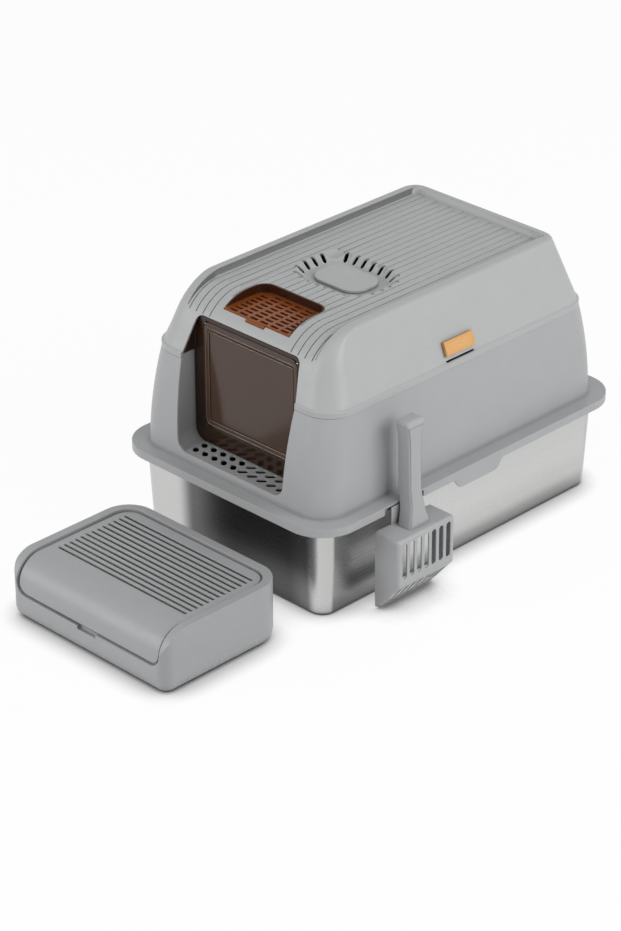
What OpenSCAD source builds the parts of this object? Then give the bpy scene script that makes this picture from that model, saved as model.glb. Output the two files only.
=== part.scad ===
// Enclosed litter box: a steel pan, a high-sided guard with a doorway, a lift-off hood with a
// swinging door flap, a litter-catching step that stands in front, and a scoop hung on the rim.
// Millimetres, +Z up, the doorway faces -Y, the origin is the centre of the pan's flat underside.

/* [Pan] */
// Width across the pan's walls at the rim
pan_w = 350; // [320:1:400]
// Length across the pan's walls at the rim
pan_l = 550; // [500:1:620]
// Height of the rolled rim's top above the ground
pan_h = 141; // [115:1:170]
// Lean of each pan wall from floor to rim
pan_draft = 5.3; // [2:0.1:12]
// Corner radius of the pan's walls
pan_r = 23; // [14:1:40]
// Radius between the pan's floor and its walls
pan_floor_r = 7; // [3:0.5:12]
// Thickness of the sheet steel
pan_t = 0.8; // [0.6:0.1:1.5]
// Outer radius of the rolled bead on the rim
bead_r = 2.8; // [2:0.1:4]
// Distance from the pan's wall to the outside of the bead
rim_w = 21.2; // [18:0.1:28]

/* [Guard] */
// Height of the guard from the top of its flange to the hood
guard_h = 146; // [110:1:190]
// Height of the flange's skirt
flange_h = 12; // [9:0.5:18]
// Corner radius of the flange
flange_r = 56; // [45:1:80]
// Thickness of the flange's top and skirt
flange_t = 2.6; // [2:0.1:4]
// Thickness of the guard's walls
guard_t = 3; // [2:0.1:4]
// Corner radius at the guard's foot
guard_r = 34; // [26:1:48]
// How far each side wall leans in from foot to top
guard_lean_x = 6.2; // [0:0.1:14]
// How far each end wall leans in from foot to top
guard_lean_y = 18.9; // [8:0.1:30]
// Depth of the lip that reaches down into the pan
lip_h = 19; // [8:1:30]
// Width of the clip tab at the flange's edge
tab_w = 66; // [40:1:100]
// Drop of the clip tab below the flange
tab_h = 15; // [6:1:24]

/* [Hood] */
// Height of the hood above the band
hood_h = 93.4; // [75:0.1:120]
// Thickness of the hood's walls
hood_t = 3; // [2:0.1:4]
// How far each side of the hood leans in
hood_lean_x = 35; // [20:0.5:50]
// How far the back of the hood leans in
hood_lean_y = 31.5; // [20:0.5:50]
// Lean of the hood's front from the vertical, in degrees
front_lean = 19.6; // [10:0.1:30]
// Radius of the roll from the front into the top
roll_r = 80; // [60:1:110]
// Corner radius at the top of the hood, at the back
top_r = 22; // [16:1:34]
// Corner radius at the top of the hood, at the front
top_r_front = 8; // [6:1:30]
// Radius round the hood's upper edge
edge_r = 4.5; // [3:0.5:9]
// Height of the band round the hood's foot
band_h = 9; // [6:0.5:14]
// How far the band stands out
band_out = 2; // [1:0.1:4]
// Width of the raised rim beside the ribbed top
rim_side = 14.5; // [10:0.5:22]
// Width of the raised rim behind the ribbed top
rim_back = 11.6; // [8:0.2:20]
// Depth of the ribbed top below its rim
top_drop = 9; // [5:0.5:12]
// Spacing of the grooves on the top
groove_pitch = 12.75; // [10:0.25:18]
// Width of a groove
groove_w = 1.6; // [1:0.1:3]
// Depth of a groove
groove_d = 1.5; // [0.6:0.1:1.8]

/* [Doorway] */
// Width of the passage behind the doorway
door_w = 216; // [180:1:236]
// Height of the sill above the flange
sill_h = 11; // [6:0.5:20]
// Depth of the sill from the guard's foot to the door
sill_d = 42.5; // [34:0.5:60]
// Thickness of the sill and the passage walls
sill_t = 2.5; // [2:0.1:4]
// Corner radius of the passage
door_r = 18; // [10:1:26]
// Distance that each side of the doorway closes in at the sill
door_in_low = 7; // [2:0.5:12]
// Distance that each side of the doorway closes in at its top
door_in_top = 9; // [4:0.5:16]
// Height of the doorway's top above the band
door_rise = 55.5; // [44:0.5:58]
// Length of a sill slot
sill_slot_l = 15; // [8:0.5:18]
// Width of a sill slot
sill_slot_w = 8; // [3:0.5:8]
// Spacing of the sill slots across the doorway
sill_pitch_x = 18.2; // [15:0.1:26]
// Spacing of the two rows of sill slots
sill_pitch_y = 16.3; // [14:0.1:18]

/* [Door] */
// Width of the door frame's side bars
bar_w = 19; // [12:0.5:28]
// Height of the door frame's lower bar
bar_h = 26; // [14:0.5:40]
// Thickness of the door frame
frame_t = 3.4; // [2.6:0.1:5]
// Thickness of the flap's panel
flap_t = 2.4; // [1.6:0.1:3]
// Width of the flap's thickened edge
flap_edge = 7; // [5:0.5:12]
// Radius of the rod that the flap hangs on
rod_r = 1.2; // [1:0.1:1.6]

/* [Skylight] */
// Width of the skylight opening
sky_w = 124; // [90:1:150]
// Length of the skylight opening
sky_l = 78; // [60:1:84]
// Radius of the skylight's back corners
sky_r = 20; // [10:1:30]
// Height of the tray's floor below the ribbed top
tray_drop = 13.4; // [11:0.2:17]
// Wall and floor thickness of the tray
tray_t = 2.2; // [1.5:0.1:3]
// Length of a tray slot
tray_slot_l = 15; // [8:0.5:16]
// Width of a tray slot
tray_slot_w = 4.8; // [2.5:0.1:5.6]
// Spacing of the tray's slots across the hood
tray_pitch_x = 19.1; // [17:0.1:26]
// Spacing of the tray's rows
tray_pitch_y = 9.2; // [7:0.1:14]

/* [Vent] */
// Width of the vent dish
vent_w = 136; // [110:1:140]
// Length of the vent dish
vent_l = 100; // [86:1:108]
// Corner radius of the vent dish
vent_r = 38; // [32:1:42]
// Distance between the skylight and the vent dish
vent_gap = 42; // [30:0.5:66]
// Width of the dish's sloping side
vent_slope = 11; // [8:0.5:11]
// Depth of the dish
vent_d = 10.5; // [8.5:0.5:12]
// Number of slots round the dish
vent_slots = 24; // [16:1:26]
// Width of a vent slot
vent_slot_w = 6; // [3:0.1:6]
// Width of the vent cap
cap_w = 88; // [76:1:88]
// Length of the vent cap
cap_l = 60; // [54:1:61]
// Depth of the filter cup
cup_h = 13; // [9:0.5:24]

/* [Latches] */
// Length of a latch
latch_l = 56; // [50:1:80]
// Height of a latch along the wall
latch_h = 20; // [17:0.5:24]
// Thickness of a latch
latch_t = 5.5; // [4:0.5:10]
// Height of a latch's middle above the band, along the wall
latch_up = 21; // [20:0.5:34]
// Place of the latches along the box
latch_y = -7; // [-40:1:60]

/* [Scoop] */
// Place of the scoop's middle along the box
scoop_y = -146; // [-160:1:-120]
// Width of the scoop's basket
scoop_w = 108; // [84:1:120]
// Depth of the basket from its mouth to its slotted face
scoop_d = 44; // [36:1:58]
// Height of the basket's upright face
scoop_h = 70; // [50:1:76]
// Thickness of the scoop's walls
scoop_t = 2.6; // [2:0.1:4]
// Number of slots in the basket
scoop_slots = 7; // [5:1:9]
// Width of a basket slot
scoop_slot_w = 8; // [4:0.1:9]
// Height of the top of the handle above the basket
grip_h = 153; // [120:1:180]
// Width of the handle at its middle
grip_w = 23; // [16:0.5:28]
// Thickness of the handle
grip_t = 23; // [16:0.5:26]

/* [Step] */
// Width of the step
step_w = 301; // [240:1:360]
// Length of the step from front to back
step_l = 216; // [190:1:260]
// Height of the step
step_h = 90; // [76:1:120]
// Gap between the step and the flange
step_gap = 32; // [2:0.5:80]
// Sideways place of the step
step_x = 13; // [-60:1:60]
// Corner radius at the step's back
step_r_back = 41; // [26:1:50]
// Corner radius at the step's front
step_r_front = 17; // [11:1:22]
// Radius between the step's underside and its walls
step_foot_r = 15; // [6:0.5:16]
// Radius of the roll from the step's top into its front
step_roll = 41; // [30:1:44]
// Thickness of the step's walls
step_t = 3; // [2:0.1:4]
// Width of the step's rim beside its cover
step_rim = 13; // [8:0.5:20]
// Gap between the rim and the cover
step_groove = 3; // [1.5:0.1:5]
// Depth of the cover below the rim
step_drop = 3; // [1:0.1:6]
// Height of the cover's lower edge
cover_z = 40; // [26:0.5:44]
// Radius of the cover's lower corners
cover_r = 14; // [6:1:20]
// Spacing of the cover's slots
cover_pitch = 9.8; // [7:0.1:13]
// Width of a cover slot
cover_slot_w = 4.4; // [3:0.1:5.5]

/* [Hidden] */
$fn = 48;

gap = 0.3;          // clearance between pieces that lift apart
run = 0.05;         // radial clearance of a turning fit
hold = 0.02;        // radial clearance of a pin that is held
corner_n = 8;       // steps round a lofted corner
eps = 0.01;         // overlap that makes cuts clean

// pan and flange
pan_a = pan_w / 2;
pan_b = pan_l / 2;
rim_fit = 0.8;                                  // room between the bead and the skirt
flange_a = pan_a + rim_w + rim_fit + flange_t;
flange_b = pan_b + rim_w + rim_fit + flange_t;
bead_in = flange_t + rim_fit + bead_r;          // from the flange's edge to the bead's centre
bead_z = pan_h - bead_r;
bead_bore = bead_r - pan_t;
plate_z = bead_z + pan_t / 2;                   // top of the flat part of the rim
skirt_z = bead_z - bead_r - 0.4;
flange_z = skirt_z + flange_h;                  // top of the flange

// guard
foot_out = 0.5;                                 // foot of the guard beyond the pan's wall
foot_a = pan_a + foot_out;
foot_b = pan_b + foot_out;
lip_gap = 0.8;                                  // room between the lip and the pan
lip_t = 2.2;
lip_z = pan_h - lip_h;
lip_in = pan_t + pan_draft * lip_h / pan_h + lip_gap;
top_z = flange_z + guard_h;                     // where the hood takes over
band_a = foot_a - guard_lean_x;
band_b = foot_b - guard_lean_y;
band_r = guard_r + 7;
shoulder_z = top_z - band_h + 2;
tongue_h = 5;
tongue_in = 2.8;                                // step from the band's line in to the tongue
tongue_t = 2;
tab_slope = 16;
rib_t = 3;

// hood
hood_z = top_z + hood_h;
hood_top_a = band_a - hood_lean_x;
side_lean = atan(hood_lean_x / hood_h);
roll_z = hood_z - roll_r;
roll_y = -band_b + (roll_r + (roll_z - top_z) * sin(front_lean)) / cos(front_lean);
roll_end = roll_z + roll_r * sin(front_lean);   // where the flat front meets the roll
hood_back = band_b - hood_lean_y;
panel_z = hood_z - top_drop;
panel_r = roll_r - top_drop;
panel_shift = 11;                               // the ribbed roll sits this far forward
panel_y = roll_y - panel_shift;
panel_a = hood_top_a - rim_side;
panel_b = hood_back - rim_back;
ceiling_z = panel_z - hood_t;
ledge_in = hood_t + 1.3;                        // wall thickness at the band
tight_power = 1.8;                              // how late the front corners tighten up the hood

// doorway and door
door_a = door_w / 2;
sill_z = flange_z + sill_h;
door_y = -foot_b + sill_d - 0.5;                // front face of the door frame
door_top = top_z + door_rise;
frame_a = door_a - 2 * gap;
frame_z = sill_z + 2 * gap;
hole_a = frame_a - bar_w;
hole_z = frame_z + bar_h;
hole_top = door_top - 7.5;
hole_r = 6;
lintel_r = 12;                                  // radius of the doorway's upper corners
frame_low_top = door_top - 4.5;                 // top of the frame beside the doorway
rod_y = door_y + flap_t;
rod_z = hole_top - 5;
knuckle_r = flap_t + 0.2;
rod_end = hole_a + 5.5;
flap_a = hole_a - 2 * gap;
flap_low = hole_z + 3 * gap;
flap_top = hole_top - 3 * gap;

// skylight
sky_a = sky_w / 2;
sky_front = roll_y - sqrt(pow(roll_r, 2) - pow(panel_z - tray_drop - roll_z, 2)) + 0.5;
sky_back = sky_front + sky_l;
tray_z = panel_z - tray_drop;
shelf_w = 3;
shelf_t = 2;
tab_a = 17;                                     // half width of the tray's finger tab
tab_reach = 3;

// vent
vent_a = vent_w / 2;
vent_b = vent_l / 2;
vent_y = sky_back + vent_gap + vent_b;
vent_z = panel_z - vent_d;
bowl_t = 2.2;
dent_r = 19;
dent_depth = 7;
dent_place = floor(vent_slots * 0.43);          // which slot gives way to the finger dent
slot_over = 5;                                  // how far a slot runs past the dish's edge
cap_a = cap_w / 2;
cap_b = cap_l / 2;
cap_r = 24;
cap_h = 4.4;
cap_skin = 1.8;
cup_in = 5.5;                                   // step from the cap's edge in to the cup
cup_t = 1.6;
cup_a = cap_a - cup_in;
cup_b = cap_b - cup_in;
cup_r = cap_r - cup_in;
cup_flange = 3;
cup_floor = vent_z - cup_h;

// latches
latch_axis_x = -hood_t - 3.5;                   // pin axis, measured out from the wall
latch_axis_z = latch_h / 2 + 3;
latch_pin_r = 1.2;
knob_r = 3;
arm_w = 6;
arm_h = 4;
arm_y = 18;
arm_low = latch_axis_z - 12;
arm_room = 2.6;                                 // room above an arm for the latch's swing
boss_w = 4;
boss_y = arm_y + arm_w / 2 + 1.3 + boss_w / 2;
pin_half = boss_y + boss_w / 2 + 0.5;
latch_slot_h = 2.6;
latch_slot_drop = 6;                            // wall between the latch and the slot

// scoop
scoop_top = skirt_z - 18;
scoop_in = pan_a + rim_w + 1;                   // mouth of the basket, clear of the pan's rim
scoop_out = scoop_in + scoop_d;
scoop_b = scoop_w / 2;
toe_z = 3.5;
toe_x = scoop_out - (scoop_top - scoop_h - toe_z) * 0.85;
hook_w = 20;
hook_t = 2.2;
hook_y = scoop_y + 20;                          // the hook stands behind the handle
hook_root = 26.5;                               // reach of the hook's foot past the handle
hook_z = flange_z + gap;
hook_x = flange_a - 8;                          // outer side of the hook's tip
neck_x = flange_a - flange_t + 2;               // inner side of the hook's neck
tip_w = 3.2;
tip_drop = 1.8;
tip_room = 1;
notch_w = 74;
grip_z = scoop_top + grip_h;
grip_lean = 10;
grip_in = scoop_out - grip_t - 12;              // inner side of the handle at its foot
grip_foot = 41;
grip_head = 32;
inlay_t = 2;
inlay_edge = 1.6;

// step
step_a = step_w / 2;
step_back = -flange_b - step_gap;
step_front = step_back - step_l;
cover_in = step_rim + step_groove;
ledge_w = 6;
ledge_t = 2.5;
cover_t = 3;
seat_d = step_drop + cover_t + gap;             // depth of the seat that carries the cover
slot_half = step_a - cover_in - 11;
slot_front = step_front + 64;
slot_back = step_back - 34;
notch_a = 17.5;                                 // half width of the finger notch
notch_h = 5;
notch_d = 6;

// Points of an arc about (x, y) from angle a0 to a1.
function arc_pts(x, y, r, a0, a1, n = corner_n) =
    [for (i = [0 : n]) let (t = a0 + (a1 - a0) * i / n) [x + r * cos(t), y + r * sin(t)]];

// Points of a rectangle with round corners, half width a, from y0 to y1; rf is the radius at y0.
function ring(a, y0, y1, r, rf = 0) = let (f = rf > 0 ? rf : r) concat(
    arc_pts(a - r, y1 - r, r, 0, 90), arc_pts(-a + r, y1 - r, r, 90, 180),
    arc_pts(-a + f, y0 + f, f, 180, 270), arc_pts(a - f, y0 + f, f, 270, 360));

// Solid through a stack of rings, each given as [height, points].
module loft(rings) {
    n = len(rings[0][1]);
    m = len(rings);
    points = [for (k = rings) for (q = k[1]) [q[0], q[1], k[0]]];
    sides = [for (k = [0 : m - 2]) for (i = [0 : n - 1]) let (j = (i + 1) % n)
        each [[k * n + i, (k + 1) * n + i, k * n + j], [k * n + j, (k + 1) * n + i, (k + 1) * n + j]]];
    floor_face = [for (i = [0 : n - 1]) i];
    roof_face = [for (i = [n - 1 : -1 : 0]) (m - 1) * n + i];
    polyhedron(points, concat(sides, [floor_face, roof_face]));
}

// Flat plate with round corners, as exact solids: half width a, from y0 to y1.
module plate(a, y0, y1, r, z0, z1) {
    translate([0, 0, z0]) linear_extrude(z1 - z0) {
        translate([-a + r, y0]) square([2 * (a - r), y1 - y0]);
        translate([-a, y0 + r]) square([2 * a, y1 - y0 - 2 * r]);
        for (x = [-a + r, a - r]) for (y = [y0 + r, y1 - r]) translate([x, y]) circle(r);
    }
}

// Box between two corners.
module block(low, high) {
    translate(low) cube([high[0] - low[0], high[1] - low[1], high[2] - low[2]]);
}

// Prism along X from x0 to x1, with its outline in the YZ plane.
module along_x(x0, x1, outline) {
    translate([x0, 0, 0]) rotate([90, 0, 90]) linear_extrude(x1 - x0) polygon(outline);
}

// Prism along Y from y0 to y1, with its outline in the XZ plane.
module along_y(y0, y1, outline) {
    translate([0, y1, 0]) rotate([90, 0, 0]) linear_extrude(y1 - y0) polygon(outline);
}

// Round bar along X.
module bar_x(x0, x1, y, z, r) {
    translate([x0, y, z]) rotate([0, 90, 0]) cylinder(h = x1 - x0, r = r);
}

// Round bar along Y.
module bar_y(y0, y1, x, z, r) {
    translate([x, y0, z]) rotate([-90, 0, 0]) cylinder(h = y1 - y0, r = r);
}

// Slot cutter: a flat bar with round ends along X, centred on the origin.
module slot(length, width, depth) {
    translate([0, 0, -depth / 2]) linear_extrude(depth) {
        square([length - width, width], center = true);
        for (s = [-1, 1]) translate([s * (length - width) / 2, 0]) circle(width / 2, $fn = 24);
    }
}

function pan_in(z) = pan_draft * (1 - z / pan_h);

// Ring of the pan's wall at height z, moved in by t.
function pan_ring(z, t) = ring(pan_a - pan_in(z) - t, -pan_b + pan_in(z) + t, pan_b - pan_in(z) - t,
                               pan_r - t);

module pan_body(t, base, crown) {
    r = pan_floor_r - t;
    foot = [for (k = [0 : 4]) let (c = 22.5 * k)
        [base + r * (1 - cos(c)), pan_ring(base + r * (1 - cos(c)), t + r * (1 - sin(c)))]];
    loft(concat(foot, [[crown, pan_ring(crown, t)]]));
}

// Quarter bend and straight tubes of the rolled bead.
module bead(radius) {
    a = flange_a - bead_in;
    b = flange_b - bead_in;
    r = flange_r - bead_in;
    for (s = [-1, 1]) {
        bar_y(-b + r, b - r, s * a, bead_z, radius);
        bar_x(-a + r, a - r, s * b, bead_z, radius);
    }
    for (q = [[1, 1, 0], [-1, 1, 90], [-1, -1, 180], [1, -1, 270]])
        translate([q[0] * (a - r), q[1] * (b - r), bead_z]) rotate([0, 0, q[2]])
            rotate_extrude(angle = 90) translate([r, 0]) circle(radius, $fn = 24);
}

module steel_pan() {
    color("silver") difference() {
        union() {
            pan_body(0, 0, plate_z);
            plate(flange_a - bead_in, -flange_b + bead_in, flange_b - bead_in, flange_r - bead_in,
                  plate_z - pan_t, plate_z);
            bead(bead_r);
        }
        pan_body(pan_t, pan_t, plate_z + 1);
        bead(bead_bore);
    }
}

function guard_s(z) = pow(max(z - flange_z, 0) / guard_h, 2);
function guard_a(z) = foot_a - guard_lean_x * guard_s(z);
function guard_b(z) = foot_b - guard_lean_y * guard_s(z);
function guard_rad(z) = guard_r + (band_r - guard_r) * max(z - flange_z, 0) / guard_h;
function guard_ring(z, t) = ring(guard_a(z) - t, -guard_b(z) + t, guard_b(z) - t, guard_rad(z) - t);

// Ring along the band's line, moved out by t.
function band_ring(t) = ring(band_a + t, -band_b - t, band_b + t, band_r + t);

// Heights at which the guard's wall is drawn.
guard_steps = [for (k = [0 : 8]) flange_z + (shoulder_z - flange_z) * k / 8];
lip_a = pan_a - lip_in;
lip_b = pan_b - lip_in;
function lip_ring(t) = ring(lip_a - t, -lip_b + t, lip_b - t, pan_r - 1);

module guard_outside() {
    loft(concat(
        [[lip_z, lip_ring(0)], [plate_z + gap, lip_ring(0)], [plate_z + gap, guard_ring(plate_z, 0)]],
        [for (z = guard_steps) [z, guard_ring(z, 0)]],
        [[shoulder_z, band_ring(-tongue_in)], [shoulder_z + tongue_h, band_ring(-tongue_in)]]));
}

module guard_inside() {
    loft(concat(
        [[lip_z - 1, lip_ring(lip_t)], [plate_z + gap, lip_ring(lip_t)]],
        [for (k = [0 : 8]) let (z = flange_z + 1 + (guard_h - band_h - 6) * k / 8)
            [z, guard_ring(z, k == 0 ? guard_t + 1 : guard_t)]],
        [[shoulder_z - 3, band_ring(-tongue_in - tongue_t)],
         [shoulder_z + tongue_h + 1, band_ring(-tongue_in - tongue_t)]]));
}

// Half width of the doorway's front opening at height z.
function door_half(z) = z < top_z
    ? door_a - 0.5 - door_in_low * (top_z - z) / (top_z - sill_z)
    : door_a - 0.5 - door_in_top * (z - top_z) / door_rise;

// Outline of the doorway below the band, round at its lower corners.
function door_low_outline() = concat(
    [[door_half(top_z), top_z + 1]],
    [[-door_half(top_z), top_z + 1]],
    arc_pts(-door_half(sill_z) + door_r, sill_z + door_r, door_r, 180, 270),
    arc_pts(door_half(sill_z) - door_r, sill_z + door_r, door_r, 270, 360));

// Outline of the doorway above the band, round at its upper corners, moved in by t.
function door_high_outline(t) = let (a = door_half(top_z) - t, b = door_half(door_top) - lintel_r)
    concat(
        [[-a, shoulder_z - 10], [a, shoulder_z - 10], [a, top_z]],
        arc_pts(b, door_top - lintel_r, lintel_r - t, 0, 90),
        arc_pts(-b, door_top - lintel_r, lintel_r - t, 90, 180),
        [[-a, top_z]]);

// U-shaped outline of the passage behind the doorway: half width a, floor z, corner radius r.
function passage(a, z, r, roof) = concat(
    [[a, roof], [-a, roof]],
    arc_pts(-a + r, z + r, r, 180, 270), arc_pts(a - r, z + r, r, 270, 360));

sill_back = door_y + frame_t + 1.6;
jamb_top = shoulder_z + tongue_h;

module passage_walls() {
    intersection() {
        difference() {
            along_y(-foot_b, sill_back,
                    passage(door_a + sill_t, sill_z - sill_t, door_r + sill_t, jamb_top));
            along_y(-foot_b - 1, sill_back + 1, passage(door_a, sill_z, door_r, top_z + 1));
        }
        guard_outside();
    }
}

// Slots of the sill: two rows that mirror each other about the middle.
module sill_slots() {
    half = (sill_slot_l - sill_slot_w) / 2 * cos(45) + sill_slot_w / 2;    // a slot's reach along the row
    count = floor((door_a - door_r - half) / sill_pitch_x + 0.5);
    for (row = [-0.5, 0.5]) for (s = [-1, 1]) for (i = [0 : count - 1])
        translate([s * (i + 0.5) * sill_pitch_x, door_y - 16.7 + row * sill_pitch_y, sill_z])
            rotate([0, 0, s * 45]) slot(sill_slot_l, sill_slot_w, 4 * sill_t);
}

// Outline of the clip tab, with sloping ends.
tab_outline = concat(
    [[tab_w / 2 + tab_slope, skirt_z + 1], [tab_w / 2 + tab_slope, skirt_z]],
    arc_pts(tab_w / 2, skirt_z - tab_h + 8, 8, -35, -90, 4),
    arc_pts(-tab_w / 2, skirt_z - tab_h + 8, 8, -90, -145, 4),
    [[-tab_w / 2 - tab_slope, skirt_z], [-tab_w / 2 - tab_slope, skirt_z + 1]]);

module flange() {
    plate(flange_a, -flange_b, flange_b, flange_r, flange_z - flange_t, flange_z);
    difference() {
        plate(flange_a, -flange_b, flange_b, flange_r, skirt_z, flange_z - flange_t + eps);
        plate(flange_a - flange_t, -flange_b + flange_t, flange_b - flange_t, flange_r - flange_t,
              skirt_z - 1, flange_z - flange_t + 1);
    }
    for (s = [-1, 1]) along_x(s * (flange_a - flange_t / 2) - flange_t / 2,
                              s * (flange_a - flange_t / 2) + flange_t / 2, tab_outline);
}

// Ribs under the flange that rest on the pan's rim.
module rim_ribs() {
    out_a = flange_a - bead_in - bead_r - gap;
    out_b = flange_b - bead_in - bead_r - gap;
    for (s = [-1, 1]) {
        for (y = [-0.42, -0.12, 0.12, 0.42] * 2 * pan_b)
            block([min(s * out_a, s * (foot_a - 1)), y - rib_t / 2, plate_z + gap],
                  [max(s * out_a, s * (foot_a - 1)), y + rib_t / 2, flange_z - flange_t + eps]);
        for (x = [-0.3, 0, 0.3] * 2 * pan_a)
            block([x - rib_t / 2, min(s * out_b, s * (foot_b - 1)), plate_z + gap],
                  [x + rib_t / 2, max(s * out_b, s * (foot_b - 1)), flange_z - flange_t + eps]);
    }
}

module lower_guard() {
    color("darkgray") difference() {
        union() {
            difference() {
                union() {
                    guard_outside();
                    flange();
                    rim_ribs();
                }
                guard_inside();
                along_y(-flange_b, door_y, door_low_outline());
            }
            passage_walls();
        }
        sill_slots();
        // notch in the skirt for the scoop's hook
        block([flange_a - flange_t - 1, scoop_y - notch_w / 2, skirt_z - 1],
              [flange_a + 1, scoop_y + notch_w / 2, flange_z - flange_t]);
        // nick in the flange's edge for the hook's neck and slot for its tip
        for (x = [[neck_x - gap, flange_a + 1],
                  [hook_x - tip_w - tip_room, hook_x + tip_drop + tip_room]])
            block([x[0], hook_y - hook_w / 2 - tip_room, flange_z - flange_t - 1],
                  [x[1], hook_y + hook_w / 2 + tip_room, flange_z + 1]);
    }
}

// Place of the hood's front at height z, with its wall moved in by t.
function front_y(z, t) = z < roll_z + (roll_r - t) * sin(front_lean)
    ? -band_b + (z - top_z) * tan(front_lean) + t / cos(front_lean)
    : roll_y - sqrt(max(pow(roll_r - t, 2) - pow(z - roll_z, 2), 0));

function edge_in(z) = z < hood_z - edge_r ? 0
    : edge_r - sqrt(max(pow(edge_r, 2) - pow(z - hood_z + edge_r, 2), 0));
function hood_f(z) = (z - top_z) / hood_h;
function hood_a(z) = band_a - hood_lean_x * hood_f(z) - edge_in(z);
function hood_b(z) = band_b - hood_lean_y * hood_f(z) - edge_in(z);
function hood_rad(z, r, share) = band_r + (r - band_r) * share - edge_in(z) * 0.5;

// Ring of the hood at height z, moved in by t; its front corners tighten near the top.
function hood_ring(z, t) = ring(hood_a(z) - t, front_y(z, t), hood_b(z) - t,
                                hood_rad(z, top_r, hood_f(z)) - t / 2,
                                hood_rad(z, top_r_front, pow(hood_f(z), tight_power)) - t / 2);

roll_steps = [for (c = [60, 51, 43, 36, 30, 24, 19, 14, 9, 4, 0.5]) roll_z + roll_r * cos(c)];
cave_steps = [for (z = roll_steps) if (z < ceiling_z - 1) z];
hood_foot = shoulder_z + gap;

module hood_outside() {
    loft(concat(
        [[hood_foot, band_ring(band_out)], [top_z + 1, band_ring(band_out)]],
        [for (k = [0 : 5]) let (z = top_z + 3 + (roll_end - top_z - 3) * k / 5) [z, hood_ring(z, 0)]],
        [for (z = roll_steps) [z, hood_ring(z, 0)]]));
}

module hood_inside() {
    low = band_ring(band_out - ledge_in);
    loft(concat(
        [[hood_foot - 1, low], [jamb_top + 1, low]],
        [for (k = [0 : 5]) let (z = top_z + 6 + (roll_end - top_z - 7) * k / 5) [z, hood_ring(z, hood_t)]],
        [for (z = cave_steps) [z, hood_ring(z, hood_t)]],
        [[ceiling_z, hood_ring(ceiling_z, hood_t)]]));
}

// Space above the ribbed top and in front of its roll, sunk by t and wider by t.
module above_panel(t) {
    difference() {
        block([-panel_a - t, -flange_b, roll_end], [panel_a + t, panel_b + t, hood_z + 1]);
        block([-flange_a, panel_y, roll_z], [flange_a, flange_b, panel_z - t]);
        bar_x(-flange_a, flange_a, panel_y, roll_z, panel_r - t);
    }
}

module panel_recess() {
    intersection() {
        above_panel(0);
        plate(panel_a, -flange_b, panel_b, top_r - 8, roll_z, hood_z + 2);
    }
}

// One groove: a straight run and its bend over the roll, ending at angle stop.
module groove(x, back, stop) {
    block([x - groove_w / 2, panel_y - eps, panel_z - groove_d], [x + groove_w / 2, back, panel_z + 1]);
    translate([x - groove_w / 2, panel_y, roll_z]) rotate([90, 0, 90])
        rotate([0, 0, 90]) rotate_extrude(angle = stop)
            translate([panel_r - groove_d, 0]) square([groove_d + 1, groove_w]);
}

module grooves() {
    count = floor((panel_a - 3) / groove_pitch);
    for (i = [-count : count])
        groove(i * groove_pitch, panel_b - (i % 2 == 0 ? 4.5 : 11),
               abs(i * groove_pitch) < sky_a + 4 ? 20 : 52);
}

// Skylight opening: square at the front, round at the back, moved in by t.
module sky_shape(t, z0, z1) {
    intersection() {
        plate(sky_a - t, sky_front + t - sky_l, sky_back - t, sky_r - t, z0, z1);
        block([-sky_a, sky_front + t, z0 - 1], [sky_a, sky_back, z1 + 1]);
    }
}

collar_z = tray_z - tray_t - gap - shelf_t;

// Collar under the skylight with the shelf that the tray stands on.
module sky_collar() {
    difference() {
        intersection() {
            plate(sky_a + hood_t - 1, sky_front - hood_t + 1, sky_back + hood_t - 1, sky_r + 2,
                  collar_z, panel_z - 1);
            union() {
                bar_x(-flange_a, flange_a, roll_y, roll_z, roll_r - 1);
                block([-flange_a, roll_y, roll_z], [flange_a, flange_b, hood_z]);
            }
        }
        sky_shape(shelf_w, collar_z - 1, panel_z + 1);
        sky_shape(0, collar_z + shelf_t, panel_z + 1);
    }
}

// Point and direction on a round-cornered rectangle, a share s of the way round.
function round_at(s, a, b, r) =
    let (lx = 2 * (a - r), ly = 2 * (b - r), q = PI * r / 2, d = s * (2 * lx + 2 * ly + 4 * q))
    d < ly ? [a, -b + r + d, 0] :
    d < ly + q ? let (t = (d - ly) / r * 180 / PI) [a - r + r * cos(t), b - r + r * sin(t), t] :
    d < ly + q + lx ? [a - r - (d - ly - q), b, 90] :
    d < ly + 2 * q + lx ? let (t = 90 + (d - ly - q - lx) / r * 180 / PI)
        [-a + r + r * cos(t), b - r + r * sin(t), t] :
    d < 2 * ly + 2 * q + lx ? [-a, b - r - (d - ly - 2 * q - lx), 180] :
    d < 2 * ly + 3 * q + lx ? let (t = 180 + (d - 2 * ly - 2 * q - lx) / r * 180 / PI)
        [-a + r + r * cos(t), -b + r + r * sin(t), t] :
    d < 2 * ly + 3 * q + 2 * lx ? [-a + r + (d - 2 * ly - 3 * q - lx), -b, 270] :
    let (t = 270 + (d - 2 * ly - 3 * q - 2 * lx) / r * 180 / PI)
        [a - r + r * cos(t), -b + r + r * sin(t), t];

function dish_ring(t) = ring(vent_a - t, vent_y - vent_b + t, vent_y + vent_b - t, vent_r - t);

// Place of slot i round the dish, as round_at gives it.
function vent_place(i) = round_at((i + 0.5) / vent_slots, vent_a - vent_slope / 2,
                                  vent_b - vent_slope / 2, vent_r - vent_slope / 2);

// Ball of the finger dent at the dish's edge, larger by t.
module dent_ball(t) {
    q = vent_place(dent_place);
    translate([q[0], vent_y + q[1], panel_z - dent_depth + dent_r]) rotate([0, 0, q[2]])
        translate([vent_slope / 2, 0, 0]) sphere(dent_r + t);
}

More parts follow.
